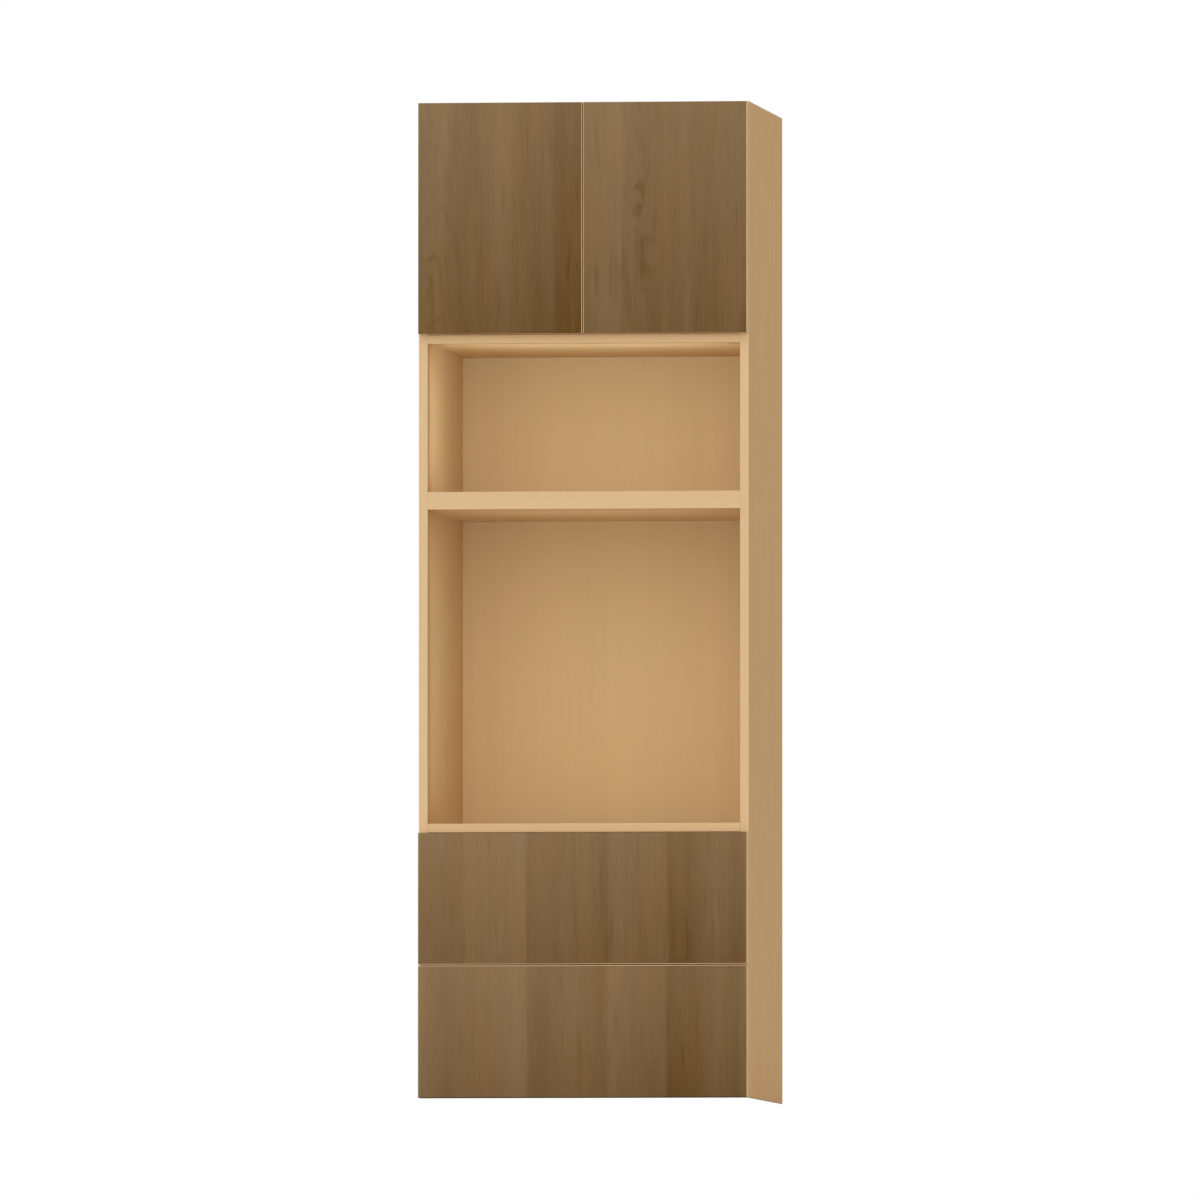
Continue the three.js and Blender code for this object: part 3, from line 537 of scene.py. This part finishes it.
def rounded_outline(width, height, radius, steps):
    """A rectangle with round corners about the origin: four quarter circles, one after the other."""
    quarter = np.linspace(0, TURN / 4, steps)
    corners = []
    for k, (sx, sy) in enumerate([(1, 1), (-1, 1), (-1, -1), (1, -1)]):
        angle = quarter + k * TURN / 4
        centre = np.array([sx * (width / 2 - radius), sy * (height / 2 - radius)])
        corners.append(centre + radius * np.column_stack([np.cos(angle), np.sin(angle)]))
    return np.concatenate(corners)


def carried(path, width, thickness):
    """Rings of a strip: a rounded section, width by thickness, carried along a path in the XY plane."""
    path = np.asarray(path, float)
    ahead = np.gradient(path, axis=0)
    ahead /= np.linalg.norm(ahead, axis=1, keepdims=True)
    across = np.column_stack([-ahead[:, 1], ahead[:, 0]])
    section = rounded_outline(thickness, width, 0.3 * thickness, SECTION_STEPS)
    rings = np.empty((len(path), len(section), 3))
    rings[..., :2] = path[:, None] + section[None, :, :1] * across[:, None]
    rings[..., 2] = section[:, 1]
    return rings


def put(rings, centre, normal, turn=0.0):
    """Moves rings so that their z points along normal at centre, turned about it by turn radians."""
    z = np.asarray(normal, float) / np.linalg.norm(normal)
    x = np.cross((0, 0, 1) if abs(z[2]) < 0.9 else (0, 1, 0), z)
    x /= np.linalg.norm(x)
    y = np.cross(z, x)
    across = math.cos(turn) * x + math.sin(turn) * y
    up = np.cross(z, across)
    return rings @ np.array([across, up, z]) + np.asarray(centre, float)


print("ring helpers ready")

# %% [markdown]
# A fitting is one mesh of several shells, such as the four screws of a door's cups. It rides on the
# body that carries it, so it moves with the door or the drawer. Points that fall together at a pole
# are merged, and normals are worked out afresh, so every shell ends closed with its faces outwards.

# %% From rings to a piece
SHARP = math.radians(40)


def shell_faces(start, count, sides):
    """Faces of one shell whose points start at a number: quads between rings, and a fan at each end."""
    ring = start + np.arange(count * sides).reshape(count, sides)
    after = np.roll(ring, -1, axis=1)
    quads = np.stack([ring[:-1], after[:-1], after[1:], ring[1:]], axis=-1).reshape(-1, 4)
    faces = quads.tolist()
    for end, row in ((count * sides, 0), (count * sides + 1, count - 1)):
        fan = np.stack([np.full(sides, start + end), after[row], ring[row]], axis=-1)
        faces += fan.tolist()
    return faces


def fitting(name, shells, body, coating):
    """One piece from several closed shells of rings. It rides on a CAD body."""
    points, faces, start = [], [], 0
    for rings in shells:
        count, sides = rings.shape[:2]
        points += [rings.reshape(-1, 3), np.array([rings[0].mean(0), rings[-1].mean(0)])]
        faces += shell_faces(start, count, sides)
        start += count * sides + 2
    mesh = bpy.data.meshes.new(name)
    mesh.from_pydata(np.concatenate(points).tolist(), [], faces)
    shape = bmesh.new()
    shape.from_mesh(mesh)
    bmesh.ops.remove_doubles(shape, verts=shape.verts, dist=1e-7)
    bmesh.ops.dissolve_degenerate(shape, edges=shape.edges, dist=1e-8)
    bmesh.ops.recalc_face_normals(shape, faces=shape.faces)
    shape.to_mesh(mesh)
    shape.free()
    mesh.shade_smooth()
    mesh.set_sharp_from_angle(angle=SHARP)
    mesh.materials.append(coating)
    piece = bpy.data.objects.new(name, mesh)
    bpy.context.scene.collection.objects.link(piece)
    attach(piece, body)


def mirrored(side, x, y, z):
    """A place given on the right-hand side, as it is on the side asked for."""
    return (side * x, y, z)


print("fitting helper ready")


# %% [markdown]
# ## Screws
# A furniture screw has a low domed head with a cross recess. It could be a cylinder with a texture, but
# a recess that light falls into needs geometry. The head is a height over a disc: a dome, minus a
# cross-shaped pocket whose walls slope.

# %% Screw heads
def screw_head(radius, height, sides=32):
    """Rings of a head. Height over the disc is height * (1 - (r / radius)^2 / 2), less the recess."""
    spread_out = np.concatenate([[1.0], np.linspace(0.97, 0.06, 11)])
    angle = np.linspace(0, TURN, sides, endpoint=False)
    r = radius * spread_out[:, None]
    x, y = r * np.cos(angle), r * np.sin(angle)
    arm = np.minimum(np.abs(x), np.abs(y)) / (0.13 * radius)
    reach = np.maximum(np.abs(x), np.abs(y)) / (0.55 * radius)
    pocket = np.clip(1.6 - arm, 0, 1) * np.clip((1.25 - reach) * 4, 0, 1)
    z = height * (1 - 0.5 * (r / radius) ** 2) - 0.55 * height * pocket
    top = np.stack([x, y, z], axis=-1)
    foot = np.stack([x[0], y[0], np.zeros(sides)], axis=-1)
    return np.concatenate([foot[None], top])


print("a screw head has", screw_head(1, 1).shape[0], "rings")

# %% [markdown]
# Each hinge has two screws in the ears of its cup, two in its mounting plate and two on its arm, one
# that sets the door sideways and a larger one that clamps the arm. Every cross is turned another
# way, as screws driven by hand are.

# %% Hinge screws
HINGES = {"lower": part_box("hinge_cup_left_lower"), "upper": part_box("hinge_cup_left_upper")}
HINGE_Z = {level: (low.z + high.z) / 2 for level, (low, high) in HINGES.items()}
CUP_X = -(HINGES["lower"][0].x + HINGES["lower"][1].x) / 2
CUP_FACE_Y = HINGES["lower"][1].y
ARM_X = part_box("hinge_arm_right_lower")[0].x
PLATE_X = INSIDE - 0.00345  # where the heads sit on the mounting plate
CUP_SCREWS_Z = (-0.026, 0.026)
PLATE_SCREWS_Z, PLATE_SCREWS_BACK = (-0.016, 0.016), 0.037
ARM_SCREWS = ((0.026, 0.0034), (0.050, 0.0044))  # distance behind the front edge, radius
for label, side in SIDES.items():
    cup_screws, plate_screws = [], []
    for level, z in HINGE_Z.items():
        for k, dz in enumerate(CUP_SCREWS_Z):
            at = mirrored(side, CUP_X, CUP_FACE_Y, z + dz)
            cup_screws.append(put(screw_head(0.0037, 0.0011), at, (0, 1, 0), 0.4 + k))
        for k, dz in enumerate(PLATE_SCREWS_Z):
            at = mirrored(side, PLATE_X, EDGE_Y + PLATE_SCREWS_BACK, z + dz)
            plate_screws.append(put(screw_head(0.0040, 0.0016), at, (-side, 0, 0), 0.9 + 0.7 * k))
        for k, (back, radius) in enumerate(ARM_SCREWS):
            at = mirrored(side, ARM_X, EDGE_Y + back, z)
            plate_screws.append(put(screw_head(radius, 0.0013), at, (-side, 0, 0), 0.3 + 0.5 * k))
    fitting(f"hinge_cup_screws_{label}", cup_screws, f"door_{label}", NICKEL)
    fitting(f"hinge_plate_screws_{label}", plate_screws, "carcass", NICKEL)
print("screws on", 2 * len(HINGE_Z), "hinges at heights", {k: round(v, 4) for k, v in HINGE_Z.items()})

# %% [markdown]
# ## Runner fittings
# Each runner has screws through the members on the cabinet and on the drawer, and a release lever on
# the member on the drawer. They show when a drawer is pulled out. A lever is a thin strip that
# follows three quarters of a sine wave.

# %% Runner screws and levers
HOLES_Y = (0.035, 0.245, 0.455)  # from the front of the runner
CABINET_SEAT, DRAWER_SEAT = 0.00115, 0.0011  # where the heads sit in the two members
LEVER_LENGTH, LEVER_SWING = 0.062, 0.0045
LEVER_WIDTH, LEVER_THICKNESS = 0.0022, 0.0016
LEVER_OUT, LEVER_BACK = 0.0021, 0.120
bend = np.linspace(0, 1, 24)
wave = LEVER_SWING * np.sin(TURN * 0.75 * bend) * (1 - 0.3 * bend)
flat_lever = carried(np.column_stack([LEVER_LENGTH * bend, wave]), LEVER_WIDTH, LEVER_THICKNESS)
for level in ("lower", "upper"):
    for label, side in SIDES.items():
        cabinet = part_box(f"runner_{level}_{label}_cabinet")
        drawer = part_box(f"runner_{level}_{label}_drawer")
        start, middle_z = cabinet[0].y, (cabinet[0].z + cabinet[1].z) / 2
        cabinet_web = INSIDE - CABINET_SEAT
        drawer_web = min(abs(drawer[0].x), abs(drawer[1].x)) + DRAWER_SEAT
        fixed, moving = [], []
        for dy in HOLES_Y:
            at = mirrored(side, cabinet_web, start + dy, middle_z)
            fixed.append(put(screw_head(0.0034, 0.0003), at, (-side, 0, 0), dy * 9))
            at = mirrored(side, drawer_web, start + dy, middle_z)
            moving.append(put(screw_head(0.0036, 0.0018), at, (side, 0, 0), dy * 7))
        fitting(f"runner_screws_{level}_{label}", fixed, "carcass", ZINC)
        fitting(f"drawer_runner_screws_{level}_{label}", moving, f"drawer_{level}", ZINC)
        at = mirrored(side, drawer_web + LEVER_OUT, start + LEVER_BACK, middle_z)
        lever = flat_lever[..., [2, 0, 1]] * np.array([side, 1, 1]) + at
        fitting(f"release_lever_{level}_{label}", [lever], f"drawer_{level}", RUBBER)
print("runner fittings on 4 runners")

# %% [markdown]
# ## Caps
# Round caps cover the cam fittings that pull the boards together. They sit under each board near its
# ends, and on top of the bottom panel, whose underside stands on the floor.

# %% Caps over the cam fittings
CAP = [(0.0086, 0), (0.0086, 0.0003), (0.0080, 0.0008), (0.0050, 0.0010), (0.0044, 0.0007), (0.0, 0.0007)]
CAP_X = INSIDE - 0.034
CAP_FROM_EDGE = 0.060
caps = []
for board in ("drawer_cross_rail", "oven_shelf", "oven_niche_top", "cupboard_floor", "top_panel"):
    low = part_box(board)[0]
    rows = [low.y + CAP_FROM_EDGE]
    if board != "drawer_cross_rail":
        rows.append(BACK_Y - CAP_FROM_EDGE)
    caps += [put(lathe(CAP), (side * CAP_X, y, low.z), (0, 0, -1)) for side in (-1, 1) for y in rows]
floor_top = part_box("bottom_panel")[1].z
caps += [put(lathe(CAP), (side * CAP_X, y, floor_top), (0, 0, 1)) for side in (-1, 1)
         for y in (EDGE_Y + CAP_FROM_EDGE, BACK_Y - CAP_FROM_EDGE)]
fitting("cam_caps", caps, "carcass", CAP_PLASTIC)
print(len(caps), "caps")

# %% [markdown]
# ## Bumpers
# Small rubber dots soften the closing of doors and drawers. They nearly fill the gap between the back
# of a front and the edges of the boards.

# %% Bumpers on doors and drawer fronts
BUMPER = [(0.0042, 0), (0.0045, 0.0004), (0.0040, 0.0012), (0.0026, 0.0017), (0.0, 0.0019)]
DOOR_DOTS_X, DOOR_DOTS_DOWN = (0.016, 0.230), 0.008
DRAWER_DOT_X, DRAWER_DOTS_IN = INSIDE + 0.008, 0.026
SUNK = 0.00005  # how far the dots of a drawer are pressed into its front
for label, side in SIDES.items():
    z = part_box(f"door_{label}")[1].z - DOOR_DOTS_DOWN
    dots = [put(lathe(BUMPER, 20), mirrored(side, x, FRONT_BACK_Y, z), (0, 1, 0)) for x in DOOR_DOTS_X]
    fitting(f"door_bumpers_{label}", dots, f"door_{label}", RUBBER)
for level in ("lower", "upper"):
    low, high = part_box(f"drawer_{level}_front")
    dots = [put(lathe(BUMPER, 20), (side * DRAWER_DOT_X, FRONT_BACK_Y - SUNK, z), (0, 1, 0))
            for side in (-1, 1) for z in (low.z + DRAWER_DOTS_IN, high.z - DRAWER_DOTS_IN)]
    fitting(f"drawer_bumpers_{level}", dots, f"drawer_{level}", RUBBER)
print("bumpers fill a gap of", round((EDGE_Y - FRONT_BACK_Y) * 1000, 2), "mm")

# %% [markdown]
# ## Screws of the boxes and the backs
# A drawer's front is screwed on from inside the box, and the box is screwed together at its corners.
# The thin backs are screwed to the shelves from behind. The top and bottom panel hold them in grooves
# and need no screws.

# %% Screws of the drawer boxes
FRONT_SCREWS_X, FRONT_SCREWS_Z = (-0.19, 0.19), (0.055, 0.125)
CORNER_SCREWS_IN, CORNER_SCREWS_Z = 0.008, (0.012, 0.090, 0.155)
for level in ("lower", "upper"):
    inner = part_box(f"drawer_{level}_inner_front")
    side_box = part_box(f"drawer_{level}_side_right")
    heads = [put(screw_head(0.0042, 0.0018), (x, inner[1].y, inner[0].z + dz), (0, 1, 0), x * 9 + dz * 30)
             for x in FRONT_SCREWS_X for dz in FRONT_SCREWS_Z]
    for side in (-1, 1):
        for y in (side_box[0].y + CORNER_SCREWS_IN, side_box[1].y - CORNER_SCREWS_IN):
            for dz in CORNER_SCREWS_Z:
                at = (side * side_box[1].x, y, inner[0].z + dz)
                heads.append(put(screw_head(0.0034, 0.0006), at, (side, 0, 0), dz * 40))
    fitting(f"drawer_box_screws_{level}", heads, f"drawer_{level}", ZINC)
    print(len(heads), "screws in the", level, "drawer")

# %% [markdown]
# The rows lie at the heights of the shelves. Behind the oven shelf and the cupboard floor two backs
# meet, and each has a row of its own. Behind the doubled shelf each of the two boards has a row.

# %% Screws of the backs
BACK_SCREWS_Z = (0.4835, 0.4925, 1.072, 1.088, 1.3675, 1.3765)
BACK_SCREWS_X = np.linspace(-0.24, 0.24, 5)
heads = [put(screw_head(0.0026, 0.0008), (x, BACK_REAR_Y, z), (0, 1, 0), x * 11 + z)
         for z in BACK_SCREWS_Z for x in BACK_SCREWS_X]
fitting("back_screws", heads, "carcass", ZINC)
print(len(heads), "screws hold the backs")

# %% [markdown]
# ## Floor and background
# The unit stands on a plain pale floor. The camera looks up at it very slightly from below floor level,
# as in the photograph, so the floor is one-sided: seen from below it lets the view through to the white
# background. Right under the unit it shows plain white from below instead, so the unit's underside
# stays out of view.

# %% Floor
WHITE = (1, 1, 1, 1)
FLOOR_Z, UNDER_UNIT_Z = -0.0010, -0.0006
FLOOR_HALF = 30


def stage_plane(name, half_x, half_y, z, made):
    """A flat rectangle round the origin at height z, which is part of the stage and not of the unit."""
    mesh = bpy.data.meshes.new(name)
    corners = [(-half_x, -half_y, z), (half_x, -half_y, z), (half_x, half_y, z), (-half_x, half_y, z)]
    mesh.from_pydata(corners, [], [(0, 1, 2, 3)])
    mesh.materials.append(made)
    plane = bpy.data.objects.new(name, mesh)
    bpy.context.scene.collection.objects.link(plane)


def floor_material(name, below):
    """Pale and matt from above. From below it shows the given shader."""
    made, tree, shader = material(name)
    cloud = spread(tree, noise(tree, place_on(tree), 3.0, 3.0), 0.3, 0.7)
    shade = blend(tree, cloud, screen(240, 239, 237), screen(243, 242, 240))
    tree.links.new(shade, shader.inputs["Base Color"])
    shader.inputs["Roughness"].default_value = 0.7
    under = node(tree, below, {"Color": WHITE})
    facing = node(tree, "NewGeometry").outputs["Backfacing"]
    both = node(tree, "MixShader", {0: facing, 1: shader.outputs[0], 2: under.outputs[0]})
    tree.links.new(both.outputs[0], tree.nodes["Material Output"].inputs["Surface"])
    return made


see_through = floor_material("pale floor", "BsdfTransparent")
stage_plane("floor", FLOOR_HALF, FLOOR_HALF, FLOOR_Z, see_through)
under_unit = floor_material("floor under the unit", "Emission")
stage_plane("floor_under_unit", OUTSIDE, REAR_Y, UNDER_UNIT_Z, under_unit)
print("floor ready")

# %% [markdown]
# ## Light from round the unit
# Soft studio light: an even surround gives light from everywhere, and a very broad softbox in front
# carries most of it. A weak lamp lies low in front, and one from nearly overhead lights what faces
# up. The surround is pure white to the camera and dimmer as a light.

# %% Surround and lamps
SURROUND = 0.47
world = bpy.data.worlds.new("studio")
bpy.context.scene.world = world
world.use_nodes = True
tree = world.node_tree
tree.nodes.clear()
seen = node(tree, "LightPath").outputs["Is Camera Ray"]
lit = node(tree, "Background", {"Color": (1, 0.99, 0.975, 1), "Strength": SURROUND})
plain = node(tree, "Background", {"Color": WHITE, "Strength": 1.0})
both = node(tree, "MixShader", {0: seen, 1: lit.outputs[0], 2: plain.outputs[0]})
node(tree, "OutputWorld", {0: both.outputs[0]})


def direction(azimuth, elevation):
    """Points from the unit towards a place round it: azimuth 0 is in front and 90 on the right."""
    a, e = math.radians(azimuth), math.radians(elevation)
    return Vector((math.sin(a) * math.cos(e), -math.cos(a) * math.cos(e), math.sin(e)))


def lamp(name, azimuth, elevation, strength, softness):
    """A far lamp of that strength, softness degrees wide as the unit sees it."""
    data = bpy.data.lights.new(name, "SUN")
    data.energy, data.angle = strength, math.radians(softness)
    placed = bpy.data.objects.new(name, data)
    placed.rotation_euler = (-direction(azimuth, elevation)).to_track_quat("-Z", "Y").to_euler()
    bpy.context.scene.collection.objects.link(placed)


LAMPS = (("front softbox", -2, 8, 1.78, 90), ("front lamp", 6, -6, 0.22, 40), ("top lamp", 25, 80, 0.80, 60))
for details in LAMPS:
    lamp(*details)
print("surround", SURROUND, "and", len(LAMPS), "lamps")

# %% [markdown]
# ## Light inside the openings
# In the photograph the niches look evenly lit. A small near lamp leaves a bright spot on a shelf, so
# each opening has a panel lamp nearly as large as itself at its front, which the camera doesn't see.
# A grid on the panel holds back light that leaves it at a flat angle. Its light is a little cool, because light
# that bounces between pale boards turns warm.

# %% Panel lamps
GRID = 150  # degrees that the grid leaves open
FILL_WIDTH, FILL_TALL = 0.90, 0.86  # shares of an opening's width and height
FILLS = (("cupboard fill", "cupboard_floor", "top_panel", 1.2, (0.80, 1.0, 1.14)),
         ("microwave fill", "microwave_shelf", "cupboard_floor", 2.55, (0.66, 1.0, 1.29)),
         ("oven fill", "oven_shelf", "oven_niche_top", 1.14, (0.62, 1.0, 1.34)))


def panel(name, height, width, tall, radiance, colour):
    """A panel lamp at the front edges of the boards, facing in. The camera looks through it."""
    data = bpy.data.lights.new(name, "AREA")
    data.shape, data.size, data.size_y, data.color = "RECTANGLE", width, tall, colour
    data.energy, data.spread = radiance * math.pi * width * tall, math.radians(GRID)
    placed = bpy.data.objects.new(name, data)
    towards = direction(0, 0)
    placed.location = towards * -EDGE_Y + Vector((0, 0, height))
    placed.rotation_euler = (-towards).to_track_quat("-Z", "Y").to_euler()
    placed.visible_camera = False
    bpy.context.scene.collection.objects.link(placed)


for name, floor_board, roof_board, radiance, colour in FILLS:
    low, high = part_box(floor_board)[1].z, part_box(roof_board)[0].z
    width, tall = 2 * INSIDE * FILL_WIDTH, (high - low) * FILL_TALL
    panel(name, (low + high) / 2, width, tall, radiance, colour)
print("panel lamps:", ", ".join(fill[0] for fill in FILLS))

# %% [markdown]
# ## Camera
# A very long lens from far away, about six and a half degrees to the right and a little over two
# degrees from below, gives the nearly parallel lines of the photograph.

# %% Camera
AIM = Vector((-0.0015, 0.0, 0.9099))
DISTANCE = 50.0
TOWARDS = direction(6.57, -2.25)
LENS, SENSOR = 826, 36  # millimetres
NEAREST, FARTHEST = 0.5, 300
data = bpy.data.cameras.new("camera")
data.lens, data.sensor_width = LENS, SENSOR
data.clip_start, data.clip_end = NEAREST, FARTHEST
camera = bpy.data.objects.new("camera", data)
camera.location = AIM + TOWARDS * DISTANCE
camera.rotation_euler = (-TOWARDS).to_track_quat("-Z", "Y").to_euler()
bpy.context.scene.collection.objects.link(camera)
bpy.context.scene.camera = camera
bpy.context.scene.view_settings.view_transform = "Standard"
print("camera at", [round(v, 3) for v in camera.location])
